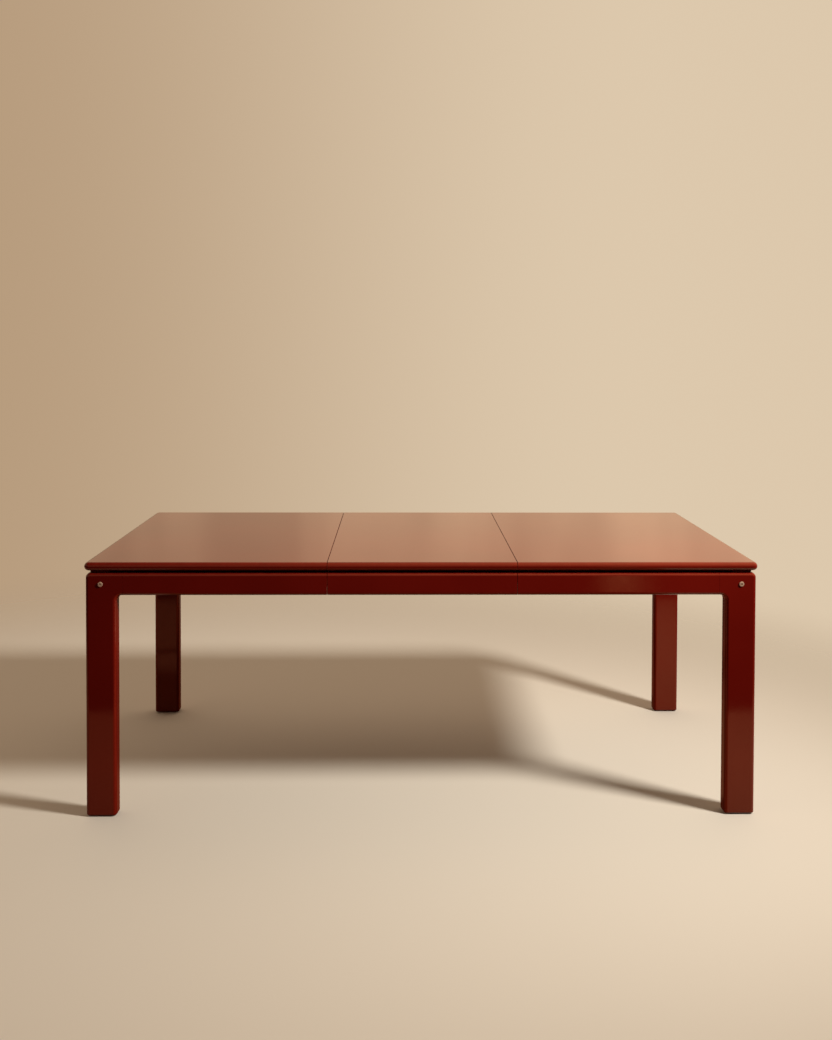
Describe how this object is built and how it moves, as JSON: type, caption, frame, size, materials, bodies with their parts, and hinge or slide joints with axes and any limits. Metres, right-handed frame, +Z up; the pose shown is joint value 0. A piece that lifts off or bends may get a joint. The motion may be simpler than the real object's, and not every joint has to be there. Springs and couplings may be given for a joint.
{
  "type": "extending dining table",
  "caption": "Extending dining table in gloss lacquer, with portal-frame legs, a lift-out centre leaf and geared slides that draw both ends apart together.",
  "frame": {"origin": "on the floor under the middle of the extended table", "axes": "+X along the length towards the right half, -Y towards the front, +Z up"},
  "size_m": [1.9528, 0.9, 0.74],
  "materials": {
    "red_lacquer": "deep oxide-red gloss lacquer over wood, mirror-like on the flat faces",
    "dark_batten": "softwood batten stained dark, matt",
    "beech": "planed beech, waxed",
    "bolt_steel": "warm nickel-plated steel, satin",
    "gear_steel": "zinc-plated steel, dull",
    "nylon": "dark nylon glide"
  },
  "bodies": {
    "left_half": {"left_top": "red_lacquer", "left_end_rail": "red_lacquer", "left_front_leg": "red_lacquer", "left_front_apron": "red_lacquer", "left_front_cleat": "dark_batten", "left_front_bolt": "bolt_steel", "left_front_barrel_nut": "gear_steel", "left_front_glide": "nylon", "left_front_runner": "beech", "left_front_runner_packer": "beech", "left_front_rack": "gear_steel", "left_back_leg": "red_lacquer", "left_back_apron": "red_lacquer", "left_back_cleat": "dark_batten", "left_back_bolt": "bolt_steel", "left_back_barrel_nut": "gear_steel", "left_back_glide": "nylon", "left_back_runner": "beech", "left_back_runner_packer": "beech", "left_back_rack": "gear_steel"},
    "right_half": {"right_top": "red_lacquer", "right_end_rail": "red_lacquer", "right_front_leg": "red_lacquer", "right_front_apron": "red_lacquer", "right_front_cleat": "dark_batten", "right_front_bolt": "bolt_steel", "right_front_barrel_nut": "gear_steel", "right_front_glide": "nylon", "right_front_runner": "beech", "right_front_runner_packer": "beech", "right_front_rack": "gear_steel", "right_back_leg": "red_lacquer", "right_back_apron": "red_lacquer", "right_back_cleat": "dark_batten", "right_back_bolt": "bolt_steel", "right_back_barrel_nut": "gear_steel", "right_back_glide": "nylon", "right_back_runner": "beech", "right_back_runner_packer": "beech", "right_back_rack": "gear_steel"},
    "leaf_carriage": {"front_carriage_runner": "beech", "back_carriage_runner": "beech", "left_leaf_bearer": "beech", "right_leaf_bearer": "beech", "front_pinion_axle": "gear_steel", "back_pinion_axle": "gear_steel", "front_rack_stop": "beech", "back_rack_stop": "beech"},
    "front_gear": {"front_pinion": "gear_steel"},
    "back_gear": {"back_pinion": "gear_steel"},
    "leaf": {"leaf_top": "red_lacquer", "leaf_front_apron": "red_lacquer", "leaf_back_apron": "red_lacquer", "leaf_front_cleat": "dark_batten", "leaf_back_cleat": "dark_batten", "leaf_front_left_peg": "beech", "leaf_front_right_peg": "beech", "leaf_back_left_peg": "beech", "leaf_back_right_peg": "beech"}
  },
  "joints": [
    {"name": "right_half_slide", "type": "slide", "parent": "left_half", "child": "right_half", "axis": [1, 0, 0], "range_m": [0, 0.05]},
    {"name": "carriage_slide", "type": "slide", "parent": "left_half", "child": "leaf_carriage", "axis": [1, 0, 0], "range_m": [0, 0.025]},
    {"name": "front_gear_turn", "type": "hinge", "parent": "leaf_carriage", "child": "front_gear", "pos_m": [0, -0.3222, 0.65235], "axis": [0, 0, 1], "range_deg": [-72, 0]},
    {"name": "back_gear_turn", "type": "hinge", "parent": "leaf_carriage", "child": "back_gear", "pos_m": [0, 0.3222, 0.65235], "axis": [0, 0, 1], "range_deg": [-72, 0]},
    {"name": "leaf_lift", "type": "slide", "parent": "leaf_carriage", "child": "leaf", "axis": [0, 0, 1], "range_m": [0, 0.25]}
  ],
  "couplings": [
    {"joint": "carriage_slide", "follows": "right_half_slide", "ratio": 0.5},
    {"joint": "front_gear_turn", "follows": "right_half_slide", "rad_per_m": -25},
    {"joint": "back_gear_turn", "follows": "right_half_slide", "rad_per_m": -25}
  ]
}
